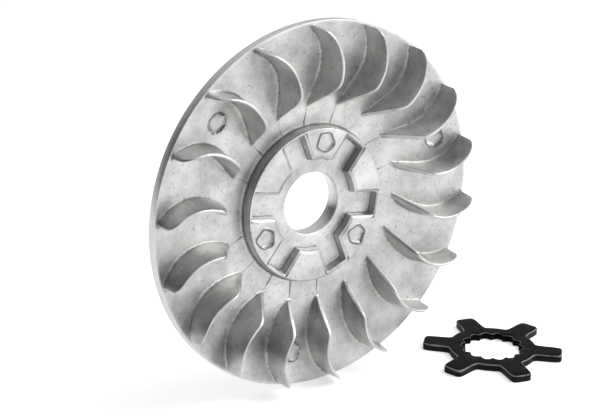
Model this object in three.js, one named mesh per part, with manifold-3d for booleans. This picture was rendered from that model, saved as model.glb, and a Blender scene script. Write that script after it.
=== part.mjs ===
// Fixed half pulley of a small scooter's belt drive, with cooling fan blades on its
// outer side, and the six-armed star lock washer that keys it to the crankshaft.
// Millimetres, +Z up.  The pulley's axis lies along Y and its fan side faces -Y.
// The origin is on the axis, in the plane of the rim's front edge.
import * as THREE from "three";
import { mergeVertices } from "three/addons/utils/BufferGeometryUtils.js";
import Module from "manifold-3d";

// ---- pulley disc ----
const RIM_DIA = 108;
const RIM_WIDTH = 3.2; // the smooth turned edge
const RIM_LAND = 0.8; // narrow flat round the front of the rim
const DISH_DEPTH = 5.4; // how far the disc's front falls back at the hub
const WALL_AT_HUB = 3.7; // disc thickness where it meets the hub
const EDGE_BREAK = 0.3;

// ---- hub ----
const HUB_DIA = 46;
const HUB_SETBACK = 2.1; // hub face behind the rim's front plane
const HUB_DRAFT = 0.4;
const HUB_LENGTH = 7.6; // hub face to the flat back face
const BORE_DIA = 18.6;

// ---- star recess in the hub face ----
const ARM_COUNT = 6;
const ARM_WIDTH = 7.3;
const ARM_LIP = 1.3; // end of an arm to the edge of the hub
const RING_LAND = 4.5; // bore to the recess ring's wall
const RECESS_DEPTH = 2.6;
const STAR_ANGLE = -9.5; // first arm, in degrees from +X

// ---- fan blades ----
const BLADE_COUNT = 18;
const BLADE_ANGLE = 13.8; // outer end of the first blade
const BLADE_BOW = 6.8; // how far the middle lags behind the ends, in degrees
const BLADE_GAP = 6.1; // side of the hub to the blades' inner ends
const BLADE_RAMP = 7.3; // how long the sloping inner end is
const BLADE_HEIGHT = 7.4; // above the rim's front plane
const BLADE_TOP = 1.5;
const BLADE_ROOT = 2.3;
const BLADE_STATIONS = 13;
const CORNER_ROUND = 3;

// ---- round marks left by the mould's pins ----
const MARK_COUNT = 3;
const MARK_DIA = 5.4;
const MARK_DEPTH = 0.4;
const HUB_MARK_INSET = 4.3; // centre of a mark to the side of the hub
const HUB_MARK_ANGLE = 80.5;
const DISC_MARK_SHARE = 0.64; // place between the blades' inner and outer ends
const DISC_MARK_ANGLE = 17.8;

// ---- star washer ----
const WASHER_THICK = 2.2;
const SEAT_GAP = 0.25; // washer to recess wall, each side
const ARM_CORNER = 1.2;
const SPLINE_TEETH = 14;
const SPLINE_DEPTH = 1.2;
const TOOTH_REACH = 0.9; // tooth tips inside the line of the pulley's bore
const WASHER_APART = 0.4; // washer's centre beyond the rim, seen from the front
const WASHER_Y = -15.9; // washer's centre in front of the rim
const WASHER_TURN = 12.8;

const ROUND_STEPS = 120;
const RIM_R = RIM_DIA / 2;
const HUB_R = HUB_DIA / 2;
const BORE_R = BORE_DIA / 2;
const BACK = -(HUB_SETBACK + HUB_LENGTH);
const FLOOR = -(HUB_SETBACK + RECESS_DEPTH);
const DISH_FOOT = HUB_R + HUB_DRAFT * 3;
const ARM_REACH = HUB_R - ARM_LIP; // axis to the flat end of an arm
const RING_RADIUS = BORE_R + RING_LAND;
const BLADE_INNER = HUB_R + BLADE_GAP;
const BLADE_SHOULDER = BLADE_INNER + BLADE_RAMP;
const BLADE_OUTER = RIM_R - RIM_LAND;
const BLADE_LENGTH = BLADE_OUTER - BLADE_INNER;
const HUB_MARK_RADIUS = HUB_R - HUB_MARK_INSET;
const DISC_MARK_RADIUS = BLADE_INNER + DISC_MARK_SHARE * BLADE_LENGTH;
const SPLINE_INNER = BORE_R - TOOTH_REACH;
const WASHER_X = RIM_R + WASHER_APART;
const rad = (deg) => (deg * Math.PI) / 180;

const wasm = await Module();
wasm.setup();

const toSolid = (geometry) => {
  const plain = geometry.clone();
  plain.deleteAttribute("normal");
  plain.deleteAttribute("uv");
  const merged = mergeVertices(plain, 1e-4);
  return new wasm.Manifold(
    new wasm.Mesh({
      numProp: 3,
      vertProperties: new Float32Array(merged.attributes.position.array),
      triVerts: new Uint32Array(merged.index.array),
    }),
  );
};

const toGeometry = (solid) => {
  const mesh = solid.getMesh();
  const geometry = new THREE.BufferGeometry();
  const points = new Float32Array(mesh.numVert * 3);
  for (let i = 0; i < mesh.numVert; i++) {
    for (let c = 0; c < 3; c++) {
      points[i * 3 + c] = mesh.vertProperties[i * mesh.numProp + c];
    }
  }
  geometry.setAttribute("position", new THREE.BufferAttribute(points, 3));
  geometry.setIndex(new THREE.BufferAttribute(new Uint32Array(mesh.triVerts), 1));
  return geometry;
};

// Height of the dished front surface at radius r.
const dish = (r) => {
  const run = (RIM_R - RIM_LAND - r) / (RIM_R - RIM_LAND - DISH_FOOT);
  return -DISH_DEPTH * Math.max(0, run);
};

// Turned body: profile of radius and height, revolved about the axis.
const discBody = () => {
  const backAtHub = -DISH_DEPTH - WALL_AT_HUB;
  const profile = [
    [BORE_R, BACK],
    [HUB_R, BACK],
    [HUB_R + (backAtHub - BACK), backAtHub],
    [RIM_R - EDGE_BREAK, -RIM_WIDTH],
    [RIM_R, -RIM_WIDTH + EDGE_BREAK],
    [RIM_R, -EDGE_BREAK],
    [RIM_R - EDGE_BREAK, 0],
    [RIM_R - RIM_LAND, 0],
    [DISH_FOOT, -DISH_DEPTH],
    [HUB_R, dish(HUB_R + HUB_DRAFT) + 0.5],
    [HUB_R - HUB_DRAFT, -HUB_SETBACK],
    [BORE_R, -HUB_SETBACK],
    [BORE_R, BACK],
  ];
  const points = profile.map(([r, h]) => new THREE.Vector2(r, h));
  const lathe = new THREE.LatheGeometry(points, ROUND_STEPS);
  lathe.rotateX(Math.PI / 2); // the lathe's own axis is Y; work with the axis on Z
  return toSolid(lathe);
};

// Angle of a blade's centre line at radius r: both ends level, the middle lagging.
const bladeAngle = (r) => {
  const t = (r - BLADE_INNER) / BLADE_LENGTH;
  return rad(BLADE_ANGLE - BLADE_BOW * 4 * t * (1 - t));
};

// Height of a blade's top edge at radius r.
const bladeTop = (r) => {
  const slope = (r - BLADE_INNER) / (BLADE_SHOULDER - BLADE_INNER);
  const foot = dish(BLADE_INNER);
  const rise = foot + (BLADE_HEIGHT - foot) * Math.min(1, slope);
  const over = Math.max(0, r - (BLADE_OUTER - CORNER_ROUND));
  const left = Math.max(0, CORNER_ROUND ** 2 - over ** 2);
  const drop = CORNER_ROUND - Math.sqrt(left);
  return rise - 0.6 * drop;
};

// One blade: a row of tapered four-cornered sections joined from the hub outwards.
const bladeSolid = (turn) => {
  const rows = [];
  for (let i = 0; i < BLADE_STATIONS; i++) {
    const t = i / (BLADE_STATIONS - 1);
    rows.push(BLADE_INNER - 0.6 + (BLADE_LENGTH + 0.6) * t);
  }
  rows.push(BLADE_SHOULDER);
  rows.push(BLADE_OUTER - CORNER_ROUND * 0.4);
  rows.sort((a, b) => a - b);
  const points = [];
  for (const r of rows) {
    const angle = bladeAngle(r) + turn;
    const low = dish(r) - 1.2;
    const high = Math.max(bladeTop(r), low + 0.4);
    for (const [side, height, width] of [
      [-1, low, BLADE_ROOT],
      [1, low, BLADE_ROOT],
      [1, high, BLADE_TOP],
      [-1, high, BLADE_TOP],
    ]) {
      const across = (side * width) / 2;
      points.push(r * Math.cos(angle) - across * Math.sin(angle));
      points.push(r * Math.sin(angle) + across * Math.cos(angle));
      points.push(height);
    }
  }
  const faces = [];
  const last = (rows.length - 1) * 4;
  for (let i = 0; i < rows.length - 1; i++) {
    for (let c = 0; c < 4; c++) {
      const a = i * 4 + c;
      const b = i * 4 + ((c + 1) % 4);
      faces.push(a, b, b + 4, a, b + 4, a + 4);
    }
  }
  faces.push(0, 2, 1, 0, 3, 2);
  faces.push(last, last + 1, last + 2, last, last + 2, last + 3);
  const geometry = new THREE.BufferGeometry();
  geometry.setAttribute("position", new THREE.Float32BufferAttribute(points, 3));
  geometry.setIndex(faces);
  const solid = toSolid(geometry);
  return solid.volume() > 0 ? solid : toSolid(flipped(geometry));
};

const flipped = (geometry) => {
  const turned = geometry.clone();
  const index = turned.index.array;
  for (let i = 0; i < index.length; i += 3) {
    [index[i + 1], index[i + 2]] = [index[i + 2], index[i + 1]];
  }
  return turned;
};

// Outline shared by the recess and the washer: a ring with straight-sided arms.
const starOutline = (ring, reach, width, corner, phase) => {
  const shape = new THREE.Shape();
  const half = width / 2;
  const rootAngle = Math.asin(half / ring);
  const ringSteps = 4;
  const cornerSteps = corner > 0 ? 4 : 0;
  const pen = [];
  for (let k = 0; k < ARM_COUNT; k++) {
    const axis = phase + (k * 2 * Math.PI) / ARM_COUNT;
    const put = (along, across) => {
      const x = along * Math.cos(axis) - across * Math.sin(axis);
      const y = along * Math.sin(axis) + across * Math.cos(axis);
      pen.push([x, y]);
    };
    put(ring * Math.cos(rootAngle), -half);
    for (let s = 0; s <= cornerSteps; s++) {
      const a = cornerSteps ? (s / cornerSteps) * (Math.PI / 2) : 0;
      const inset = 1 - Math.cos(a);
      const along = reach - corner + corner * Math.sin(a);
      put(cornerSteps ? along : reach, -half + corner * inset);
    }
    for (let s = cornerSteps; s >= 0; s--) {
      const a = cornerSteps ? (s / cornerSteps) * (Math.PI / 2) : 0;
      const inset = 1 - Math.cos(a);
      const along = reach - corner + corner * Math.sin(a);
      put(cornerSteps ? along : reach, half - corner * inset);
    }
    put(ring * Math.cos(rootAngle), half);
    const from = axis + rootAngle;
    const gap = (2 * Math.PI) / ARM_COUNT - 2 * rootAngle;
    for (let s = 1; s < ringSteps; s++) {
      const a = from + (gap * s) / ringSteps;
      pen.push([ring * Math.cos(a), ring * Math.sin(a)]);
    }
  }
  pen.forEach(([x, y], i) => (i ? shape.lineTo(x, y) : shape.moveTo(x, y)));
  shape.closePath();
  return shape;
};

const starCutter = () => {
  const phase = rad(STAR_ANGLE);
  const shape = starOutline(RING_RADIUS, ARM_REACH, ARM_WIDTH, 0, phase);
  const depth = RECESS_DEPTH + 1;
  const cutter = new THREE.ExtrudeGeometry(shape, { depth, bevelEnabled: false });
  cutter.translate(0, 0, FLOOR);
  return toSolid(cutter);
};

const markCutter = (radius, degrees, surface) => {
  const cutter = new THREE.CylinderGeometry(MARK_DIA / 2, MARK_DIA / 2, 4, 20);
  cutter.rotateX(Math.PI / 2);
  const x = radius * Math.cos(rad(degrees));
  const y = radius * Math.sin(rad(degrees));
  cutter.translate(x, y, surface - MARK_DEPTH + 2);
  return toSolid(cutter);
};

const pulleyGeometry = () => {
  const blades = [];
  for (let k = 0; k < BLADE_COUNT; k++) {
    blades.push(bladeSolid((k * 2 * Math.PI) / BLADE_COUNT));
  }
  const cutters = [starCutter()];
  for (let k = 0; k < MARK_COUNT; k++) {
    const turn = (k * 360) / MARK_COUNT;
    cutters.push(markCutter(HUB_MARK_RADIUS, HUB_MARK_ANGLE + turn, -HUB_SETBACK));
    const surface = dish(DISC_MARK_RADIUS);
    cutters.push(markCutter(DISC_MARK_RADIUS, DISC_MARK_ANGLE + turn, surface));
  }
  const body = wasm.Manifold.union([discBody(), ...blades]);
  return toGeometry(body.subtract(wasm.Manifold.union(cutters)));
};

const washerGeometry = () => {
  const shape = starOutline(
    RING_RADIUS - SEAT_GAP,
    ARM_REACH - SEAT_GAP,
    ARM_WIDTH - 2 * SEAT_GAP,
    ARM_CORNER,
    rad(WASHER_TURN),
  );
  const hole = new THREE.Path();
  const steps = SPLINE_TEETH * 6;
  for (let i = 0; i < steps; i++) {
    const angle = (i * 2 * Math.PI) / steps;
    const wave = (1 - Math.cos(angle * SPLINE_TEETH)) / 2;
    const r = SPLINE_INNER + SPLINE_DEPTH * Math.sqrt(wave);
    const x = r * Math.cos(angle);
    const y = r * Math.sin(angle);
    if (i === 0) hole.moveTo(x, y);
    else hole.lineTo(x, y);
  }
  hole.closePath();
  shape.holes.push(hole);
  const depth = WASHER_THICK;
  const washer = new THREE.ExtrudeGeometry(shape, { depth, bevelEnabled: false });
  washer.translate(WASHER_X, WASHER_Y, -RIM_R);
  return toGeometry(toSolid(washer));
};

const finish = (colour, roughness) => {
  const material = new THREE.MeshStandardMaterial({ color: colour });
  material.roughness = roughness;
  material.metalness = 0.9;
  return material;
};

const pulley = new THREE.Mesh(pulleyGeometry(), finish(0xc4c6c6, 0.5));
pulley.geometry.rotateX(Math.PI / 2); // fan side to -Y
pulley.name = "fan_pulley";

const washer = new THREE.Mesh(washerGeometry(), finish(0x26272a, 0.45));
washer.name = "star_washer";

const group = new THREE.Group();
group.name = "scooter_fan_pulley";
group.add(pulley, washer);

export default group;
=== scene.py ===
# %% [markdown]
# # Fan pulley and star washer
# The outer half pulley of a small scooter's belt drive is a die casting. One side is
# a smooth cone that the belt runs on. The other side carries curved blades that blow
# air through the belt case. A six-armed steel washer keys it to the crankshaft.
#
# An imported mesh, a sculpt or a numpy surface could each give the casting. Here it is
# a numpy surface, because every size can then be read off a named value.

import math

import bpy
import numpy as np
from mathutils import Matrix, Vector


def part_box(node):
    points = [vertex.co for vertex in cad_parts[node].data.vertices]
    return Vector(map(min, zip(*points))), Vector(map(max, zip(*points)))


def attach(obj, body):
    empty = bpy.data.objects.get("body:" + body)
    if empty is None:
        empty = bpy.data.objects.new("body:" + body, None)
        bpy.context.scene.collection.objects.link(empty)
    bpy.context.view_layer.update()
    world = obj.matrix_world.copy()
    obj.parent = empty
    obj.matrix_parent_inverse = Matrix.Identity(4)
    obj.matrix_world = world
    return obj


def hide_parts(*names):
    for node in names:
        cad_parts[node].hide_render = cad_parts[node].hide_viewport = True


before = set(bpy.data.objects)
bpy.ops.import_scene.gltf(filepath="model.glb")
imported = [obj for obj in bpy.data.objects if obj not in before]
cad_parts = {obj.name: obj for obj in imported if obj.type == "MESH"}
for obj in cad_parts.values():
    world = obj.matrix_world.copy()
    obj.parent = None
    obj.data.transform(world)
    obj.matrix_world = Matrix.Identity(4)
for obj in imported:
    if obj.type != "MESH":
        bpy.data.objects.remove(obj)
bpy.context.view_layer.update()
washer_low, washer_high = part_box("star_washer")

# %% [markdown]
# ## From rings to a closed skin
# A turned part can be thought of as rings threaded on one axis. If each ring has the
# same number of points, neighbours join into a skin of four-sided faces. When the
# last ring joins the first, the skin closes on itself like the skin of a doughnut,
# which is what a part with a hole through it needs. A lathe modifier could only make
# round rings. These rings may be any shape, so the same helper makes hub, blades and
# washer.

# %% Join a stack of rings into one mesh
MM = 0.001


def skin_of_rings(name, points, masks, crease_degrees):
    """Points is rings x columns x 3, in millimetres, in the row frame.

    Face (i, j) joins ring i to ring i+1 and column j to column j+1, and both counts
    wrap round. The enclosed volume is a sixth of the sum of each triangle's triple
    product. It is negative when the faces look inwards, and then their order is
    reversed.
    """
    rings, columns, _ = points.shape
    flat = points.reshape(-1, 3) * MM
    i, j = np.meshgrid(np.arange(rings), np.arange(columns), indexing="ij")
    i_next, j_next = (i + 1) % rings, (j + 1) % columns
    quads = np.stack(
        [
            i * columns + j,
            i * columns + j_next,
            i_next * columns + j_next,
            i_next * columns + j,
        ],
        axis=-1,
    ).reshape(-1, 4)
    a, b, c, d = (flat[quads[:, k]] for k in range(4))
    volume = np.einsum("ij,ij->", a, np.cross(b, c)) + np.einsum(
        "ij,ij->", a, np.cross(c, d)
    )
    if volume < 0:
        quads = quads[:, ::-1]
    mesh = bpy.data.meshes.new(name)
    mesh.from_pydata(flat.tolist(), [], quads.tolist())
    for mask_name, values in masks.items():
        layer = mesh.attributes.new(mask_name, "FLOAT", "POINT")
        layer.data.foreach_set("value", values.astype(np.float32).ravel())
    mesh.shade_smooth()
    mesh.set_sharp_from_angle(angle=math.radians(crease_degrees))
    mesh.validate()
    piece = bpy.data.objects.new(name, mesh)
    bpy.context.scene.collection.objects.link(piece)
    print(name, "triangles:", 2 * len(quads), "volume cm3:", abs(volume) / 6 * 1e6)
    return piece


print("lengths are given in units of", MM, "m")

# %% [markdown]
# ## A smooth step
# Most blends on a casting start and end gently, with no corner at either side. One
# small curve serves them all. Blender's Map Range node has the same curve, but shapes
# are worked out here before there is any node.

# %% Ease from 0 to 1


def ease(value, low, high):
    """Smooth step: 0 below low, 1 above high, and 3t^2 - 2t^3 between."""
    t = np.clip((value - low) / (high - low), 0, 1)
    return t * t * (3 - 2 * t)


print("a quarter of the way along, the step is at", ease(0.25, 0, 1))

# %% [markdown]
# ## Sizes of the casting
# All heights are measured along the axis from the rim's front plane, towards the fan
# side. The disc's front falls back to the hub at nearly the slope of the belt cone
# behind it, so the wall keeps about the same thickness. The sizes could be read off a
# drawing each time, but as names they are written once and changed in one place.

# %% Sizes in millimetres and degrees
RIM_R = 54.0
RIM_BACK = -3.2
LAND_R = 53.2
DISH_FOOT = 24.2
DISH_DEPTH = 5.4
HUB_R = 23.0
HUB_FACE = -2.1
BACK_FACE = -9.7
BORE_R = 9.3
FLOOR = -4.7
BLADES = 18
BLADE_INNER, BLADE_SHOULDER, BLADE_OUTER = 29.1, 36.4, 53.1
BLADE_TOP = 7.4
CORNER = 3.0
BLADE_ANGLE, BLADE_BOW = 13.8, 6.8
STAR_ANGLE = -9.5
HUB_MARKS_AT, CONE_MARKS_AT = (18.7, 80.5), (44.5, 17.8)
HALF_SECTOR = 21
SECTOR = 2 * (HALF_SECTOR - 1)
COLUMNS = BLADES * SECTOR
print("columns round the casting:", COLUMNS)

# %% [markdown]
# ## A blade's cross section
# Cut a blade across and it looks like a narrow tower with a rounded top and a
# sweeping foot. One half of that outline, from the blade's centre to the middle of
# the channel, is worked out for every radius at once. The other half is its mirror
# image.
#
# Eighteen separate blades joined with booleans would leave a hard line at each foot.
# Letting the disc itself rise into the blades gives the soft cast fillet for nothing.

# %% Cone, blade top and blade path as functions of the radius


def dish(r):
    """A straight fall from 0 at the land to the full depth at the hub's foot."""
    run = (LAND_R - r) / (LAND_R - DISH_FOOT)
    return -DISH_DEPTH * np.clip(run, 0, 1)


def blade_top(r):
    """The lower of a steep line and a level, blended by a soft minimum, then rounded
    off at the outer corner by a quarter circle."""
    foot = -DISH_DEPTH * (LAND_R - BLADE_INNER) / (LAND_R - DISH_FOOT)
    steep = (BLADE_TOP - foot) / (BLADE_SHOULDER - BLADE_INNER)
    line = foot + steep * (r - BLADE_INNER)
    blend = 1.1
    soft = -blend * np.log(np.exp(-line / blend) + np.exp(-BLADE_TOP / blend))
    over = np.clip(r - (BLADE_OUTER - CORNER), 0, CORNER)
    return soft - (CORNER - np.sqrt(CORNER**2 - over**2))


def blade_height(r):
    """Height above the cone: zero outside the blade, with a steep outer end."""
    rise = np.maximum(blade_top(r) - dish(r), 0)
    outer_end = 1 - ease(r, BLADE_OUTER - 0.02, BLADE_OUTER + 0.22)
    return rise * outer_end


def blade_path(r):
    """Angle of the blade's centre line: level at both ends, lagging in the middle by a
    parabola 4t(1-t)."""
    t = np.clip((r - BLADE_INNER) / (BLADE_OUTER - BLADE_INNER), 0, 1)
    return np.radians(BLADE_ANGLE - BLADE_BOW * 4 * t * (1 - t))


tallest = blade_height(np.linspace(BLADE_INNER, BLADE_OUTER, 200)).max()
print("tallest blade above the cone, mm:", round(float(tallest), 2))

# %% [markdown]
# ## Half of the outline
# Casting draft makes the blade a little thicker at its foot, and no edge of a casting
# is sharp. So the outline is a narrow flat top, a quarter round, a sloping wall, a
# quarter fillet and the floor of the channel. A Bevel modifier could round a plain
# blade, but it would round all its edges alike, and here the top and the foot differ.

# %% Half outline of a blade for every radius
TOP_HALF, TOP_ROUND, FOOT_ROUND, DRAFT = 0.42, 0.34, 0.75, 0.065


def half_outline(r):
    """Across-distances and heights, each radii x 21: the flat top, a quarter round, the
    drafted wall, a quarter fillet and the channel floor."""
    height = blade_height(r)[:, None]
    nose = np.clip((r - BLADE_INNER + 0.4) / 2.6, 0.03, 1)
    tail = np.clip((BLADE_OUTER + 0.5 - r) / 1.2, 0.05, 1)
    slim = np.sqrt(nose * tail)[:, None]
    ramp = 1 - ease(r, BLADE_SHOULDER - 4, BLADE_SHOULDER + 3)[:, None]
    top_half = 0.25 + (TOP_HALF + 0.25 * ramp - 0.25) * slim
    foot_half = top_half + np.maximum(0.15, DRAFT * height)
    pitch_half = (math.pi * r / BLADES)[:, None]
    turn = np.radians([0, 30, 60, 90])
    round_r = np.minimum(TOP_ROUND, 0.45 * height)
    inner = np.minimum(TOP_ROUND, top_half * 0.8)
    crest_u = top_half - inner + inner * np.sin(turn)
    crest_v = height - round_r * (1 - np.cos(turn))
    sweep = np.radians([0, 22.5, 45, 67.5, 90])
    fillet = np.minimum(FOOT_ROUND, 0.5 * height)
    foot_u = foot_half + FOOT_ROUND * (1 - np.cos(sweep))
    foot_v = fillet * (1 - np.sin(sweep))
    wall_u = (crest_u[:, -1:] + foot_u[:, :1]) / 2
    wall_v = (crest_v[:, -1:] + foot_v[:, :1]) / 2
    step = np.linspace(0, 1, 10)[1:]
    floor_u = foot_u[:, -1:] + (pitch_half - foot_u[:, -1:]) * step
    floor_v = np.zeros_like(floor_u)
    zero = np.zeros_like(height)
    u = np.hstack([zero, crest_u[:, :1] / 2, crest_u, wall_u, foot_u, floor_u])
    v = np.hstack([height, height, crest_v, wall_v, foot_v, floor_v])
    return u, v


trial_u, _ = half_outline(np.array([45.0]))
print("points in half an outline:", trial_u.shape[1], "of", HALF_SECTOR)

# %% [markdown]
# ## The star recess
# The recess is a ring with six straight-sided arms. A boolean would cut it, but the
# ring of points may just as well follow the star itself: every outline is drawn with
# the same number of points in each arm side, arm end and arc, so that a larger copy
# and a smaller one join into a wall or a chamfer without a twist.

# %% Star outlines with matching points
ARMS = 6
SIDE_STEPS, END_STEPS, ARC_STEPS = 18, 30, 54


def star(ring, reach, half, rounding):
    """Columns x 2 points round a star, anticlockwise, from the first arm's first side.

    The corners are rounded by averaging each point with its neighbours, a quarter,
    a half and a quarter, as many times as rounding says.
    """
    root = math.asin(half / ring)
    side = np.linspace(ring * math.cos(root), reach, SIDE_STEPS + 1)[:-1]
    end = np.linspace(-half, half, END_STEPS + 1)[:-1]
    arc = np.linspace(root, 2 * math.pi / ARMS - root, ARC_STEPS + 1)[:-1]
    back = side[0] + reach - side
    along = np.concatenate(
        [side, np.full(END_STEPS, reach), back, ring * np.cos(arc)]
    )
    across = np.concatenate(
        [
            np.full(SIDE_STEPS, -half),
            end,
            np.full(SIDE_STEPS, half),
            ring * np.sin(arc),
        ]
    )
    turns = math.radians(STAR_ANGLE) + np.arange(ARMS)[:, None] * 2 * math.pi / ARMS
    x = (along * np.cos(turns) - across * np.sin(turns)).ravel()
    y = (along * np.sin(turns) + across * np.cos(turns)).ravel()
    outline = np.stack([x, y], axis=1)
    for _ in range(rounding):
        before, after = np.roll(outline, 1, axis=0), np.roll(outline, -1, axis=0)
        outline = (before + 2 * outline + after) / 4
    return outline


wall_star = star(13.7, 21.6, 3.55, 3)
star_angles = np.unwrap(np.arctan2(wall_star[:, 1], wall_star[:, 0]))
print("points round a star:", len(wall_star))

# %% [markdown]
# ## Hub rings
# From the bore outwards the rings climb out of the bore over a small round, cross the
# recess floor, go up its wall and chamfer, cross the hub face and go down the hub's
# side to the cone. Loop cuts and scaling could do the same by hand. Three small
# helpers keep every ring in step with the star instead.

# %% Circles and levels that match the star


def circle(r):
    """A circle whose points keep the star's angles, so that no face is twisted."""
    return r * np.stack([np.cos(star_angles), np.sin(star_angles)], axis=1)


def level(outline, height):
    """An outline with its height added: x, up, towards the fan side."""
    return np.column_stack([outline, np.full(len(outline), height)])


def between(a, b, height, shares):
    """Rings part of the way from outline a to outline b, all at one height."""
    return [level(a + (b - a) * share, height) for share in shares]


steps_round = np.hypot(*np.diff(circle(HUB_R), axis=0).T)
print("widest step round the hub, mm:", round(float(steps_round.max()), 3))

# %% [markdown]
# ## The ladder of hub rings
# The mould leaves a soft corner at the bore, a small chamfer along the recess and a
# rounded rim on the hub. Each is a rung of the ladder below, and each rung also says
# how much painted shade it carries and how rubbed it is. The painted shade darkens
# the recess corner, its wall and chamfer, a line along the hub's edge and the corner
# at the hub's foot, where shade falls. Bevelling a cut-out star would give the same
# corners, but the shade would then have to be painted on by hand.

# %% Climb from the bore to the cone
BORE_ROUND = 0.4
hub_rings, hub_shade_and_seams, hub_wear = [], [], []


def hub_ring(outline, height, shade_and_seams=0.0, wear=0.0):
    """One more ring outwards, with the painted shade and wear it carries."""
    hub_rings.append(level(outline, height))
    hub_shade_and_seams.append(shade_and_seams)
    hub_wear.append(wear)


# The third number is painted shade, here a little where the bore's round starts.
hub_ring(circle(BORE_R), FLOOR - BORE_ROUND, 0.2)
for degrees in (30, 60, 90):
    swing = math.radians(degrees)
    radius = BORE_R + BORE_ROUND * (1 - math.cos(swing))
    hub_ring(circle(radius), FLOOR - BORE_ROUND * (1 - math.sin(swing)), wear=0.5)
floor_star = star(13.2, 21.1, 3.1, 4)
inner_circle = circle(BORE_R + BORE_ROUND)
for part in (0.2, 0.45, 0.7, 0.88, 0.96):
    hub_ring(inner_circle + (floor_star - inner_circle) * part, FLOOR)
# Painted shade in the recess: the corner at the wall's foot, the wall and the chamfer
# are darkened where shade falls.
hub_ring(floor_star, FLOOR, 0.5)
hub_ring(star(13.4, 21.3, 3.3, 4), FLOOR + 0.08, 0.9)
hub_ring(star(13.5, 21.42, 3.4, 3), FLOOR + 0.3, 0.4)
hub_ring(star(13.68, 21.58, 3.54, 3), HUB_FACE - 0.7)
hub_ring(wall_star, HUB_FACE - 0.42, 0.95)
hub_ring(star(13.95, 21.68, 3.72, 3), HUB_FACE - 0.33, 0.3)
hub_ring(star(14.45, 21.9, 4.2, 2), HUB_FACE - 0.14)
hub_ring(star(14.6, 21.98, 4.34, 2), HUB_FACE - 0.05, 0.6)
edge_star = star(14.75, 22.03, 4.48, 2)
hub_ring(edge_star, HUB_FACE)
for part in np.linspace(0, 1, 25)[1:]:
    hub_ring(edge_star + (circle(22.5) - edge_star) * part, HUB_FACE)
# Painted shade again: a dark line along the hub's rounded edge, and shade in the corner
# where the hub's side meets the cone. The fourth number is wear.
for radius, height, shade_and_seams, wear in (
    (22.68, HUB_FACE - 0.06, 0.0, 0.0),
    (22.8, HUB_FACE - 0.2, 1.0, 0.0),
    (22.88, HUB_FACE - 0.42, 0.0, 0.5),
    (23.05, 1.0 - DISH_DEPTH, 0.25, 0.0),
    (23.15, 0.5 - DISH_DEPTH, 0.6, 0.0),
    (23.35, 0.15 - DISH_DEPTH, 0.9, 0.0),
    (23.7, 0.02 - DISH_DEPTH, 0.5, 0.0),
    (DISH_FOOT, -DISH_DEPTH, 0.0, 0.0),
):
    hub_ring(circle(radius), height, shade_and_seams, wear)
hub_rings = np.array(hub_rings)
hub_shade_and_seams = np.repeat(np.array(hub_shade_and_seams)[:, None], COLUMNS, axis=1)
hub_wear = np.repeat(np.array(hub_wear)[:, None], COLUMNS, axis=1)
print("hub rings:", len(hub_rings))

# %% [markdown]
# ## Cone and blade rings
# The radii crowd together where the shape turns quickly: at a blade's nose, at its
# outer end and where the mould's pins have left round marks. A finer grid everywhere
# would show the same, but with many more faces. The first few rings turn gradually
# from the star's angles to the blades' angles.

# %% Rings of the cone with its blades
radii = np.concatenate(
    [
        np.array([24.9, 25.6, 26.3, 27.0, 27.6]),
        np.linspace(28.0, 30.0, 8),
        np.linspace(30.5, 38.0, 14),
        np.linspace(38.8, 40.8, 3),
        np.linspace(41.3, 47.8, 14),
        np.linspace(48.8, 50.6, 3),
        np.array([51.2, 51.8, 52.3, 52.7, 53.0, 53.2]),
        np.array([53.25, 53.3, 53.36, 53.42, 53.55, 53.7]),
    ]
)
u, v = half_outline(radii)
full_u = np.hstack([u, -u[:, 1:-1][:, ::-1]])
full_v = np.hstack([v, v[:, 1:-1][:, ::-1]])
print("cone rings:", len(radii), "columns in a sector:", full_u.shape[1])

# %% [markdown]
# ## Eighteen blades, each a little different
# The outline is repeated eighteen times round the axis and follows the blade's path.
# In the casting shop each blade's flash is filed off by hand, so no two lean quite
# alike. An Array modifier would keep them identical. Here a fixed list of random
# numbers leans each one by a fraction of a degree towards its tip.

# %% Angles of every column
sector_turn = np.arange(BLADES) * 2 * math.pi / BLADES
blade_angles = (
    blade_path(radii)[:, None, None]
    + sector_turn[None, :, None]
    + (full_u / radii[:, None])[:, None, :]
)
blade_angles[:, :, HALF_SECTOR:] += 2 * math.pi / BLADES
hand_fettled = np.random.default_rng(11).uniform(-1, 1, BLADES)
halfway = HALF_SECTOR - 1
steps_away = np.minimum(np.arange(SECTOR), SECTOR - np.arange(SECTOR))
nearness = 1 - steps_away / halfway
own_blade = np.where(np.arange(SECTOR) < HALF_SECTOR, 0, 1)
lean = hand_fettled[(np.arange(BLADES)[:, None] + own_blade[None, :]) % BLADES]
outward = ease(radii, 30, 50)[:, None, None]
blade_angles += np.radians(0.28) * outward * (lean * nearness[None, :])[None]
blade_angles = blade_angles.reshape(len(radii), COLUMNS)
heights = np.tile(full_v, (1, BLADES))
smallest_step = np.degrees(np.diff(blade_angles, axis=1).min())
print("smallest step between columns, degrees:", round(float(smallest_step), 4))

# %% [markdown]
# ## Joining two patterns
# The star has six arms and the fan has eighteen blades, so their columns bunch up in
# different places. If column 0 of one met column 0 of the other, the skin between
# them would be wrung like a cloth. The blades' columns are counted from another
# place, the one where the two patterns agree best, and the first rings then pass
# smoothly from one to the other. Bridging the two loops by hand would do it too, but
# only once.

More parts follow.
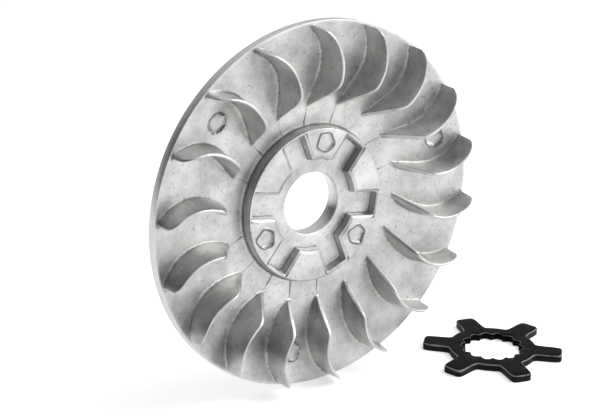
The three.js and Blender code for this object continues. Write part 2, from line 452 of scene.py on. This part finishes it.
# %% Line the blade columns up with the star's
best, shift = None, 0
for trial in range(COLUMNS):
    moved = np.roll(blade_angles[0], trial)
    gap = (moved - star_angles + math.pi) % (2 * math.pi) - math.pi
    score = float((gap**2).mean())
    if best is None or score < best:
        best, shift = score, trial
blade_angles = np.unwrap(np.roll(blade_angles, shift, axis=1), axis=1)
heights = np.roll(heights, shift, axis=1)
offset = (blade_angles[0] - star_angles).mean()
blade_angles -= 2 * math.pi * np.round(offset / (2 * math.pi))
drift = np.degrees(blade_angles[0] - star_angles)
print("columns differ from the star's by", drift.min().round(2), drift.max().round(2))
share = ease(radii, 24.2, 28.4)[:, None]
ring_angles = star_angles[None, :] * (1 - share) + blade_angles * share

# %% [markdown]
# ## Marks of the mould
# Ejector pins push the hot casting out of the mould and leave shallow discs. Where
# two inserts of the mould meet, a little metal squeezes out as a thin raised line.
# Both are real shapes, small as they are, so both go into the surface rather than
# into a bump.

# %% Pin marks and insert lines


def pin_mark(x, y, radius, degrees, ragged):
    """How far a point is sunk, from 0 to 1, by three discs set 120 degrees apart, with
    a raised lip round each. Two sine waves round the edge make it uneven."""
    sunk = np.zeros_like(x)
    for k in range(3):
        angle = math.radians(degrees + 120 * k)
        dx, dy = x - radius * math.cos(angle), y - radius * math.sin(angle)
        round_it = np.arctan2(dy, dx)
        uneven = 0.06 * np.sin(3 * round_it + k) + 0.05 * np.sin(5 * round_it + 2 * k)
        away = np.hypot(dx, dy) * (1 + ragged * uneven)
        sunk += 1 - ease(away, 2.3, 2.6)
        sunk -= 0.6 * ease(away, 2.4, 2.8) * (1 - ease(away, 2.8, 3.4))
    return sunk


PIN_DEPTH = 0.5
cone_x = radii[:, None] * np.cos(ring_angles)
cone_y = radii[:, None] * np.sin(ring_angles)
cone_w = dish(radii)[:, None] + heights
on_floor = (heights < 0.05).astype(float)
cone_marks = pin_mark(cone_x, cone_y, *CONE_MARKS_AT, 0.3) * on_floor
cone_w = cone_w - PIN_DEPTH * cone_marks
line_shape = np.zeros(SECTOR)
line_shape[[0, 1, 2, -2, -1]] = (1, 0.75, 0, 0, 0.75)
line_strength = np.array(
    [0.5, 0.6, 0.1, 0.9, 0.9, 0.2, 1.0, 0.1, 0.4]
    + [0.8, 0.1, 1.0, 0.7, 0.6, 0.0, 0.3, 0.0, 0.5]
)
line_row = np.tile(line_shape, BLADES) * np.repeat(line_strength, SECTOR)
line_row[-1] = 0.75 * line_strength[0]
line_row = np.roll(line_row, shift)[None, :]
insert_line = line_row * (radii < BLADE_INNER - 0.3)[:, None]
cone_w = cone_w + 0.14 * insert_line
cone = np.stack([cone_x, cone_y, cone_w], axis=-1)
hub_marks = pin_mark(hub_rings[..., 0], hub_rings[..., 1], *HUB_MARKS_AT, 1.0)
hub_on_face = np.isclose(hub_rings[..., 2], HUB_FACE)
hub_marks = hub_marks * hub_on_face
hub_rings[..., 2] -= PIN_DEPTH * hub_marks
print("points on insert lines:", int((insert_line > 0).sum()))

# %% [markdown]
# ## The turned side
# After casting, the rim, the belt cone and the back of the hub are turned on a lathe,
# so they are true circles with small broken edges. A Screw modifier round a drawn
# profile is the usual way. The profile is here a list of radius and height, walked
# outwards over the rim and back down to the bore, and it goes on the same rings as
# the front.

# %% Rings of the rim, the belt cone, the back and the bore
rim_edge = [
    (RIM_R - 0.08, -0.08),
    (RIM_R, -0.3),
    (RIM_R, RIM_BACK / 2),
    (RIM_R, RIM_BACK + 0.3),
    (RIM_R - 0.08, RIM_BACK + 0.08),
    (RIM_R - 0.3, RIM_BACK),
]
belt_cone = [
    (53.2, -3.3),
    (45.0, -4.93),
    (36.0, -6.71),
    (28.0, -8.3),
    (24.0, -9.09),
    (23.7, -9.15),
    (23.2, BACK_FACE + 0.1),
]
hub_back = [(r, BACK_FACE) for r in (22.9, 18.0, 15.0, 12.0, BORE_R + 0.45)]
bore = [
    (BORE_R + 0.15, BACK_FACE + 0.1),
    (BORE_R, BACK_FACE + 0.4),
    (BORE_R, -7.5),
]
back_profile = np.array(rim_edge + belt_cone + hub_back + bore)
(outer_r, outer_w), (inner_r, inner_w) = belt_cone[0], belt_cone[3]
cone_slope = math.atan2(outer_w - inner_w, outer_r - inner_r)
print("belt cone, degrees:", round(math.degrees(cone_slope), 1))
back_r, back_w = back_profile[:, 0][:, None], back_profile[:, 1][:, None]
last_angles = ring_angles[-1][None, :]
toward_star = 1 - ease(back_r, 10.0, 20.0)
back_angles = last_angles * (1 - toward_star) + star_angles[None, :] * toward_star
back = np.stack(
    [
        back_r * np.cos(back_angles),
        back_r * np.sin(back_angles),
        np.broadcast_to(back_w, back_angles.shape),
    ],
    axis=-1,
)
casting = np.concatenate([hub_rings, cone, back])
print("rings in the casting:", len(casting))

# %% [markdown]
# ## Masks carried by the surface
# Paint and light can't tell a fillet from a flat, but the surface's own arrays can.
# Three masks are stored with the points: painted shade in corners, fillets and
# round the pin marks, together with the dark insert lines; where edges are rubbed
# bright; and where a tool has turned the metal. The finishes read them by name.

# %% Painted shade and seams, wear and turned-metal masks
outline_places = np.arange(HALF_SECTOR)
mirror_places = np.concatenate([outline_places, outline_places[1:-1][::-1]])
crest_share = np.interp(mirror_places, [0, 3, 5, 7], [0.42, 0.62, 0.4, 0])
# Across the outline, the share of painted shade in the fillet at each blade's foot,
# where shade falls in the channel.
foot_shade_share = np.interp(mirror_places, [6, 8, 10, 13], [0, 0.5, 0.5, 0.1])
tall = ease(blade_height(radii), 0.4, 2.0)[:, None]


def by_column(values):
    """The pattern of one sector, repeated and rolled as the columns were."""
    return np.roll(np.tile(values, BLADES), shift)[None, :]


cone_wear = by_column(crest_share) * tall
# Painted shade at the blades' feet, only where a blade stands tall enough.
cone_shade_and_seams = by_column(foot_shade_share) * tall
# The insert lines are darkened as dark seams in the casting.
cone_shade_and_seams = np.maximum(cone_shade_and_seams, 1.3 * insert_line)
# A painted dark ring on the raised lip round each pin mark on the cone, standing in for
# the shade at its edge.
cone_shade_and_seams = np.maximum(cone_shade_and_seams, np.clip(-cone_marks * 2, 0, 1))
ring_count = len(hub_rings)
# The same painted dark ring round the hub's pin marks.
hub_shade_and_seams = np.maximum(hub_shade_and_seams, np.clip(-hub_marks * 2, 0, 1))
# The insert lines run on across the last hub rings as dark seams.
hub_shade_and_seams[-4:] = np.maximum(hub_shade_and_seams[-4:], 1.3 * line_row)
back_turned = np.ones((len(back), COLUMNS))
# The first mask holds the painted shade together with the dark seams.
masks = {
    "shade_and_seams": np.concatenate([hub_shade_and_seams, cone_shade_and_seams, np.zeros_like(back_turned)]),
    "wear": np.concatenate([hub_wear, cone_wear, np.zeros_like(back_turned)]),
    "turned": np.concatenate(
        [np.zeros_like(hub_shade_and_seams), np.zeros_like(cone_shade_and_seams), back_turned]
    ),
}
rim_ring = ring_count + len(radii)
masks["turned"][rim_ring - 3 : rim_ring] = 0.2
# The share of points with painted shade or a dark seam.
print("share of points with dirt:", round(float((masks["shade_and_seams"] > 0).mean()), 3))

# %% [markdown]
# ## The casting itself
# All rings are now in hand. The axis is turned to lie level, as the pulley stands,
# and the rings become one mesh with its masks. The same mesh could be turned as an
# object, but then its place would not be in its points, and patterns on it would
# slide.

# %% Turn the rings and make the casting


def to_row_frame(points):
    """The third number, out along the axis, turns to -Y: (x, -out, up)."""
    return np.stack([points[..., 0], -points[..., 2], points[..., 1]], axis=-1)


fan_casting = skin_of_rings("fan_casting", to_row_frame(casting), masks, 38)
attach(fan_casting, "pulley")
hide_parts("fan_pulley")

# %% [markdown]
# ## The star washer
# A press stamps this washer out of plate. The punch rounds the upper edge slightly
# and the cut tears the lower part, so the rim shows a smooth band over a rough one.
# It is the same kind of ring stack: up the splined hole, across the top, down the
# outside and back across the bottom.

# %% Outlines of the washer
THICK = 2.2
TEETH, TOOTH_TIP, TOOTH_DEPTH = 14, 8.4, 1.2
washer_centre = (washer_low + washer_high) / 2 / MM
washer_turn = math.radians(12.8 - STAR_ANGLE)


def spline_hole(grow):
    """Fourteen scallops: the radius follows the square root of (1 - cos 14a) / 2."""
    wave = np.sqrt((1 - np.cos(TEETH * (star_angles - star_angles[0]))) / 2)
    r = TOOTH_TIP + TOOTH_DEPTH * wave + grow
    return np.stack([r * np.cos(star_angles), r * np.sin(star_angles)], axis=1)


def arm_star(shrink):
    """The washer's outline, pulled in by shrink, with corners rounded more."""
    return star(13.55 - shrink, 21.45 - shrink, 3.4 - shrink, 34)


arm_tips = np.hypot(*arm_star(0.0).T).max()
print("washer across two arms, mm:", round(float(2 * arm_tips), 2))

# %% [markdown]
# ## Through the washer's thickness
# The punch draws the upper edge down into a small round and shears the band below it
# clean. The rest tears off under a shallow groove and is a little rougher. A Solidify
# modifier would make the thickness in one step, but both its edges would be the same.

# %% Rings of the washer
outline_rings = [
    level(spline_hole(0.22), 0.0),
    level(spline_hole(0.0), 0.2),
    level(spline_hole(0.0), THICK - 0.3),
    level(spline_hole(0.12), THICK - 0.08),
    level(spline_hole(0.35), THICK),
]
outline_rings += between(spline_hole(0.35), arm_star(0.4), THICK, (0.25, 0.5, 0.75))
outline_rings += [
    level(arm_star(0.4), THICK),
    level(arm_star(0.16), THICK - 0.07),
    level(arm_star(0.03), THICK - 0.3),
    level(arm_star(0.0), THICK - 0.95),
    level(arm_star(0.06), THICK - 1.15),
    level(arm_star(0.02), 0.45),
    level(arm_star(0.0), 0.15),
    level(arm_star(0.1), 0.0),
]
outline_rings += between(arm_star(0.1), spline_hole(0.22), 0.0, (0.33, 0.66))
washer_points = np.array(outline_rings)
cos_t, sin_t = math.cos(washer_turn), math.sin(washer_turn)
turned_x = washer_points[..., 0] * cos_t - washer_points[..., 1] * sin_t
turned_y = washer_points[..., 0] * sin_t + washer_points[..., 1] * cos_t
washer_points[..., 0] = turned_x + washer_centre[0]
washer_points[..., 1] = turned_y + washer_centre[1]
washer_points[..., 2] += washer_low.z / MM
print("washer rings:", len(washer_points))

# %% [markdown]
# ## The washer's masks
# The oxide is thinnest on the punched upper edge, where handling rubs it through. The
# torn band is a little paler, because its broken grain scatters the light. Both places
# are whole rings, so the masks are filled in ring by ring. Painting them as vertex
# colours would give the same result by hand.

# %% Rubbed edge and torn band
washer_wear = np.zeros(washer_points.shape[:2])
washer_wear[3] = 0.8
washer_wear[9] = 1.0
washer_wear[10] = 0.6
washer_tear = np.zeros(washer_points.shape[:2])
washer_tear[11:15] = 1.0
star_plate = skin_of_rings(
    "star_plate", washer_points, {"wear": washer_wear, "tear": washer_tear}, 40
)
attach(star_plate, "washer")
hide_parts("star_washer")

# %% [markdown]
# ## Shared effects
# Two effects serve both metals. Mottle breaks up a plain colour into soft clouds with
# finer specks in them. Frayed mask takes a mask, frays it with noise and gives back a
# crisper mask, for rubbed edges and for painted shade alike. Each is a node group, so a
# finish only states its own amounts.

# %% Node helpers


def add(tree, kind, **settings):
    """One node with its settings."""
    node = tree.nodes.new(kind)
    for key, value in settings.items():
        setattr(node, key, value)
    return node


def sum_or_product(tree, operation, a, b, clamp=False):
    """A math node fed by two sockets or numbers."""
    node = add(tree, "ShaderNodeMath", operation=operation, use_clamp=clamp)
    for slot, value in zip(node.inputs, (a, b)):
        if isinstance(value, (int, float)):
            slot.default_value = value
        else:
            tree.links.new(value, slot)
    return node.outputs[0]


def noise(tree, where, scale, detail, roughness):
    """Noise on a position; scale is per metre."""
    node = add(tree, "ShaderNodeTexNoise")
    tree.links.new(where, node.inputs["Vector"])
    node.inputs["Scale"].default_value = scale
    node.inputs["Detail"].default_value = detail
    node.inputs["Roughness"].default_value = roughness
    return node.outputs["Fac"]


def new_group(name, inputs, outputs):
    """An empty node group with named sockets: (name, kind, starting value)."""
    group = bpy.data.node_groups.new(name, "ShaderNodeTree")
    for socket, kind, value in inputs:
        made = group.interface.new_socket(socket, in_out="INPUT", socket_type=kind)
        if value is not None:
            made.default_value = value
    for socket, kind in outputs:
        group.interface.new_socket(socket, in_out="OUTPUT", socket_type=kind)
    return group, add(group, "NodeGroupInput"), add(group, "NodeGroupOutput")


made_helpers = (add, sum_or_product, noise, new_group)
print("node helpers:", [helper.__name__ for helper in made_helpers])

# %% [markdown]
# ### Mottle
# Metal that has been cast or blackened is never one even grey. Large soft clouds come
# from the way it cooled, and small specks from its grain. Two noises of very
# different scale give both. A painted texture could too, but it would need unwrapping.

# %% The mottle group
mottle_group, given, result = new_group(
    "mottle",
    [
        ("Position", "NodeSocketVector", None),
        ("Cloud scale", "NodeSocketFloat", 90.0),
        ("Speck scale", "NodeSocketFloat", 900.0),
    ],
    [("Clouds", "NodeSocketFloat"), ("Specks", "NodeSocketFloat")],
)
for socket, scale_name, detail in (
    ("Clouds", "Cloud scale", 5.0),
    ("Specks", "Speck scale", 3.0),
):
    node = add(mottle_group, "ShaderNodeTexNoise")
    mottle_group.links.new(given.outputs["Position"], node.inputs["Vector"])
    mottle_group.links.new(given.outputs[scale_name], node.inputs["Scale"])
    node.inputs["Detail"].default_value = detail
    node.inputs["Roughness"].default_value = 0.6
    mottle_group.links.new(node.outputs["Fac"], result.inputs[socket])
print("mottle gives:", [item.name for item in mottle_group.interface.items_tree])

# %% [markdown]
# ### Frayed mask
# An edge isn't rubbed evenly along its length. Adding noise to the mask before its
# contrast is raised leaves some stretches bright and others untouched. The same trick
# frays the painted shade in the corners and the dark insert lines.

# %% The frayed mask group, for rubbed edges and painted shade
fray_group, given, result = new_group(
    "frayed_mask",
    [
        ("Mask", "NodeSocketFloat", 0.0),
        ("Fray", "NodeSocketFloat", 0.5),
        ("Amount", "NodeSocketFloat", 1.0),
    ],
    [("Frayed", "NodeSocketFloat")],
)
frayed = sum_or_product(
    fray_group, "ADD", given.outputs["Mask"], given.outputs["Fray"]
)
lowered = sum_or_product(fray_group, "SUBTRACT", frayed, 0.85)
sharpened = sum_or_product(fray_group, "MULTIPLY", lowered, 2.6, clamp=True)
scaled = sum_or_product(fray_group, "MULTIPLY", sharpened, given.outputs["Amount"])
fray_group.links.new(scaled, result.inputs["Frayed"])
print("groups:", [g.name for g in bpy.data.node_groups])

# %% [markdown]
# ## Finishes
# Cast aluminium is a bright metal under a dull, slightly grainy skin, with shade
# painted into its corners and seams and brighter where edges are rubbed. The rim and
# the back are turned, so fine grooves run round the axis there. The washer is black
# oxide on steel, thin enough that the punched edges shine through.

# %% Finish helpers


def start_finish(name):
    """A material with its shader, and the piece's own coordinates."""
    material = bpy.data.materials.new(name)
    material.use_nodes = True
    tree = material.node_tree
    shader = tree.nodes["Principled BSDF"]
    where = add(tree, "ShaderNodeTexCoord").outputs["Object"]
    return material, tree, shader, where


def mask(tree, name):
    """One of the masks stored with the surface."""
    return add(tree, "ShaderNodeAttribute", attribute_name=name).outputs["Fac"]


def blend_colour(tree, factor, a, b):
    """Colour a where factor is 0 and b where it is 1."""
    node = add(tree, "ShaderNodeMix", data_type="RGBA")
    tree.links.new(factor, node.inputs["Factor"])
    for slot, value in ((node.inputs["A"], a), (node.inputs["B"], b)):
        if isinstance(value, tuple):
            slot.default_value = (*value, 1.0)
        else:
            tree.links.new(value, slot)
    return node.outputs["Result"]


def remap(tree, value, low, high, to_low, to_high):
    """A straight-line change of range, held at its ends."""
    node = add(tree, "ShaderNodeMapRange")
    tree.links.new(value, node.inputs["Value"])
    for name, number in (
        ("From Min", low),
        ("From Max", high),
        ("To Min", to_low),
        ("To Max", to_high),
    ):
        node.inputs[name].default_value = number
    return node.outputs["Result"]


def use_group(tree, group, links, values):
    """A shared effect placed in a finish with its own values."""
    node = add(tree, "ShaderNodeGroup", node_tree=group)
    for name, socket in links.items():
        tree.links.new(socket, node.inputs[name])
    for name, number in values.items():
        node.inputs[name].default_value = number
    return node.outputs


def bump(tree, height, strength, distance, under=None):
    """A bump node, on top of another if one is given."""
    node = add(tree, "ShaderNodeBump")
    node.inputs["Strength"].default_value = strength
    node.inputs["Distance"].default_value = distance
    tree.links.new(height, node.inputs["Height"])
    if under is not None:
        tree.links.new(under, node.inputs["Normal"])
    return node.outputs["Normal"]


made_helpers = (start_finish, mask, blend_colour, remap, use_group, bump)
print("finish helpers:", [helper.__name__ for helper in made_helpers])

# %% [markdown]
# ## Cast aluminium: colour
# From the bottom up: a grey skin of clouds, darker specks, the turned faces with
# rings left by the belt, bright rubbed crests, and on top of it all painted shade in
# the corners, fillets and pin-mark rims, along with the dark insert lines. The first
# four come in the order in which they came to the real part, and each layer covers
# what came before it.

# %% Layers of the aluminium's colour
cast, tree, shader, where = start_finish("cast_aluminium_finish")
skin = use_group(
    tree,
    mottle_group,
    {"Position": where},
    {"Cloud scale": 120.0, "Speck scale": 1000.0},
)
# The first mask is the painted shade together with the dark insert lines.
shade_and_seams_mask, wear_mask, turned_mask = (mask(tree, n) for n in ("shade_and_seams", "wear", "turned"))
rubbed = use_group(
    tree,
    fray_group,
    {"Mask": wear_mask, "Fray": skin["Clouds"]},
    {"Amount": 0.6},
)["Frayed"]
# The painted shade and the dark insert lines, frayed by the specks.
frayed_shade_and_seams = use_group(
    tree,
    fray_group,
    {"Mask": shade_and_seams_mask, "Fray": skin["Specks"]},
    {"Amount": 0.75},
)["Frayed"]
clouds = remap(tree, skin["Clouds"], 0.32, 0.68, 0.0, 1.0)
skin_colour = blend_colour(tree, clouds, (0.36, 0.362, 0.354), (0.66, 0.662, 0.652))
specks = remap(tree, skin["Specks"], 0.30, 0.42, 1.0, 0.0)
speck_share = sum_or_product(tree, "MULTIPLY", specks, 0.6)
speckled = blend_colour(tree, speck_share, skin_colour, (0.22, 0.22, 0.215))
split = add(tree, "ShaderNodeSeparateXYZ")
tree.links.new(where, split.inputs[0])
across_sq = sum_or_product(tree, "MULTIPLY", split.outputs["X"], split.outputs["X"])
up_sq = sum_or_product(tree, "MULTIPLY", split.outputs["Z"], split.outputs["Z"])
radius_sq = sum_or_product(tree, "ADD", across_sq, up_sq)
radius = sum_or_product(tree, "SQRT", radius_sq, 0.0)
along = sum_or_product(tree, "ADD", radius, split.outputs["Y"])
belt_rings = add(tree, "ShaderNodeTexNoise", noise_dimensions="1D")
tree.links.new(along, belt_rings.inputs["W"])
belt_rings.inputs["Scale"].default_value = 260.0
belt_share = remap(tree, belt_rings.outputs["Fac"], 0.35, 0.65, 0.0, 1.0)
belt_dull, belt_bright = (0.62, 0.622, 0.62), (0.74, 0.742, 0.738)
bright_turned = blend_colour(tree, belt_share, belt_dull, belt_bright)
turned_colour = blend_colour(tree, turned_mask, speckled, bright_turned)
worn = blend_colour(tree, rubbed, turned_colour, (0.68, 0.68, 0.67))
# Painted shade in the corners, fillets and pin-mark rims, and the dark insert lines,
# near black where the mask is full.
with_shade_and_seams = blend_colour(tree, frayed_shade_and_seams, worn, (0.10, 0.10, 0.096))
tree.links.new(with_shade_and_seams, shader.inputs["Base Color"])
shader.inputs["Metallic"].default_value = 0.95
print("aluminium colour nodes:", len(tree.nodes))

# %% [markdown]
# ## Cast aluminium: gloss and relief
# The skin is duller where it cooled slowly, and turned or rubbed metal is a little
# glossier. The finest relief is a bump, because it is far smaller than the faces:
# soft waves, sand grain, and grooves that depend on the distance from the axis alone,
# as the marks of a lathe do.

# %% Roughness and bumps of the aluminium
dull = remap(tree, skin["Clouds"], 0.3, 0.7, 0.33, 0.50)
smooth_turned = sum_or_product(tree, "MULTIPLY", turned_mask, 0.06)
smooth_rubbed = sum_or_product(tree, "MULTIPLY", rubbed, 0.05)
roughness = sum_or_product(tree, "SUBTRACT", dull, smooth_turned)
roughness = sum_or_product(tree, "SUBTRACT", roughness, smooth_rubbed)
tree.links.new(roughness, shader.inputs["Roughness"])
grooves = add(tree, "ShaderNodeTexNoise", noise_dimensions="1D")
tree.links.new(along, grooves.inputs["W"])
grooves.inputs["Scale"].default_value = 1400.0
grooves.inputs["Detail"].default_value = 3.0
groove_height = sum_or_product(tree, "MULTIPLY", grooves.outputs["Fac"], turned_mask)
grain = noise(tree, where, 2600.0, 3.0, 0.65)
normal = bump(tree, skin["Clouds"], 0.45, 0.0006)
normal = bump(tree, grain, 0.55, 0.00014, normal)
normal = bump(tree, groove_height, 0.4, 0.00006, normal)
tree.links.new(normal, shader.inputs["Normal"])
fan_casting.data.materials.append(cast)
print("aluminium nodes:", len(tree.nodes))

# %% [markdown]
# ## Black oxide steel
# Oxide is a thin black layer grown on the steel itself. It hides the metal's colour
# but not its grain, so the finish is nearly black with a weak gloss, and bare steel
# shows only on the rubbed edge. Black paint would look thicker and would round the
# edges.

# %% Finish of the washer
black, tree, shader, where = start_finish("black_oxide_finish")
skin = use_group(
    tree,
    mottle_group,
    {"Position": where},
    {"Cloud scale": 160.0, "Speck scale": 1500.0},
)
wear_mask, tear_mask = mask(tree, "wear"), mask(tree, "tear")
rubbed = use_group(
    tree,
    fray_group,
    {"Mask": wear_mask, "Fray": skin["Clouds"]},
    {"Amount": 0.7},
)["Frayed"]
clouds = remap(tree, skin["Clouds"], 0.3, 0.7, 0.0, 1.0)
oxide = blend_colour(tree, clouds, (0.002, 0.002, 0.0022), (0.006, 0.006, 0.0066))
torn = blend_colour(tree, tear_mask, oxide, (0.014, 0.014, 0.0135))
shown = blend_colour(tree, rubbed, torn, (0.30, 0.30, 0.29))
tree.links.new(shown, shader.inputs["Base Color"])
shader.inputs["Metallic"].default_value = 0.15
shader.inputs["Specular IOR Level"].default_value = 0.02
dull = remap(tree, skin["Specks"], 0.3, 0.7, 0.26, 0.44)
tree.links.new(dull, shader.inputs["Roughness"])
grain = noise(tree, where, 2200.0, 3.0, 0.6)
normal = bump(tree, grain, 0.30, 0.0001)
tear_lines = noise(tree, where, 900.0, 2.0, 0.7)
tear_height = sum_or_product(tree, "MULTIPLY", tear_lines, tear_mask)
normal = bump(tree, tear_height, 0.5, 0.0003, normal)
tree.links.new(normal, shader.inputs["Normal"])
star_plate.data.materials.append(black)
print("finishes:", [m.name for m in bpy.data.materials])

# %% [markdown]
# ## The floor
# The pulley stands on its rim and the washer lies flat beside it, on white paper. The
# paper gives off a little light of its own, as it would on a table lit from below,
# which keeps the shadows faint. A shadow catcher would hide the floor but lose its
# bounce.

# %% Floor
FLOOR_Z = -RIM_R * MM
JUST_BELOW = 0.00005
floor_mesh = bpy.data.meshes.new("table_top")
reach = 3.0
floor_mesh.from_pydata(
    [(-reach, -reach, 0), (reach, -reach, 0), (reach, reach, 0), (-reach, reach, 0)],
    [],
    [(0, 1, 2, 3)],
)
table_top = bpy.data.objects.new("table_top", floor_mesh)
table_top.location.z = FLOOR_Z - JUST_BELOW
bpy.context.scene.collection.objects.link(table_top)
paper = bpy.data.materials.new("white_paper")
paper.use_nodes = True
sheet = paper.node_tree.nodes["Principled BSDF"].inputs
sheet["Base Color"].default_value = (0.82, 0.82, 0.82, 1)
sheet["Roughness"].default_value = 0.9
sheet["Emission Color"].default_value = (1, 1, 1, 1)
sheet["Emission Strength"].default_value = 0.5
floor_mesh.materials.append(paper)
print("floor at z, m:", round(table_top.location.z, 5))

# %% [markdown]
# ## Lamps
# One large lamp from the upper right does most of the work. A weak one in front opens
# the shadows in the recess, and a wide one above lights the crests of the blades.
# Point lamps would give hard bright dots on the metal instead of soft bands.

# %% Three soft lamps


def lamp(name, place, size, watts):
    """A square soft lamp at place, looking at the origin."""
    data = bpy.data.lights.new(name, "AREA")
    data.size = size
    data.energy = watts
    made = bpy.data.objects.new(name, data)
    bpy.context.scene.collection.objects.link(made)
    made.location = place
    made.rotation_mode = "QUATERNION"
    made.rotation_quaternion = (-Vector(place)).to_track_quat("-Z", "Y")


lamp("key_lamp", (0.55, -0.30, 0.50), 0.5, 5.2)
lamp("front_lamp", (0.40, -0.70, 0.10), 0.5, 1.0)
lamp("top_lamp", (0.0, 0.0, 0.9), 0.8, 1.4)
print("lamps:", [lamp_data.name for lamp_data in bpy.data.lights])

# %% [markdown]
# ## The room
# Polished metal shows what stands round it more than the lamps that light it. The
# room is therefore not one grey. It is darkest to the left and light above, behind
# and to the right, so that one flank of every blade is bright and the other is dark.
# A set of white and black cards would do the same in a studio.

# %% A room that is lighter on one side
room = bpy.data.worlds.new("pale_room")
room.use_nodes = True
bpy.context.scene.world = room
room_tree = room.node_tree
toward = add(room_tree, "ShaderNodeTexCoord").outputs["Generated"]
parts = add(room_tree, "ShaderNodeSeparateXYZ")
room_tree.links.new(toward, parts.inputs[0])
rightward = sum_or_product(room_tree, "MULTIPLY", parts.outputs["X"], 0.9)
upward = sum_or_product(room_tree, "MULTIPLY", parts.outputs["Z"], 0.7)
frontward = sum_or_product(room_tree, "MULTIPLY", parts.outputs["Y"], -0.2)
side = sum_or_product(room_tree, "ADD", rightward, upward)
side = sum_or_product(room_tree, "ADD", side, frontward)
backward = sum_or_product(room_tree, "MAXIMUM", parts.outputs["Y"], 0.0)
backward = sum_or_product(room_tree, "MULTIPLY", backward, 0.8)
side = sum_or_product(room_tree, "ADD", side, backward)
glow = remap(room_tree, side, 0.05, 1.0, 0.02, 0.75)
room_tree.links.new(glow, room_tree.nodes["Background"].inputs["Color"])
room_tree.nodes["Background"].inputs["Strength"].default_value = 1.0
bpy.context.scene.view_settings.view_transform = "Standard"
print("room nodes:", len(room_tree.nodes))

# %% [markdown]
# ## The camera
# A long lens from the left and a little above keeps the rim close to a true ellipse.
# The camera could be aimed with a Track To constraint. Here its right, down and
# forward directions are written into its matrix, so that it stands still whatever is
# moved.

# %% Camera
camera_data = bpy.data.cameras.new("product_camera")
camera_data.sensor_width = 36.0
camera_data.lens = 79.73
camera = bpy.data.objects.new("product_camera", camera_data)
bpy.context.scene.collection.objects.link(camera)
right = np.array([0.82292, -0.56816, 0.0])
down = np.array([-0.18996, -0.27514, -0.94245])
forward = np.cross(right, down)
right, down, forward = (n / np.linalg.norm(n) for n in (right, down, forward))
place = np.array([-3.85423, -5.38668, 2.33613]) * RIM_R * MM
turn = np.column_stack([right, -down, -forward])
camera.matrix_world = Matrix(
    [[*turn[k], place[k]] for k in range(3)] + [[0, 0, 0, 1]]
)
camera_data.clip_start = 0.01
camera_data.clip_end = 20.0
bpy.context.scene.camera = camera
print("camera looks along", forward.round(3))
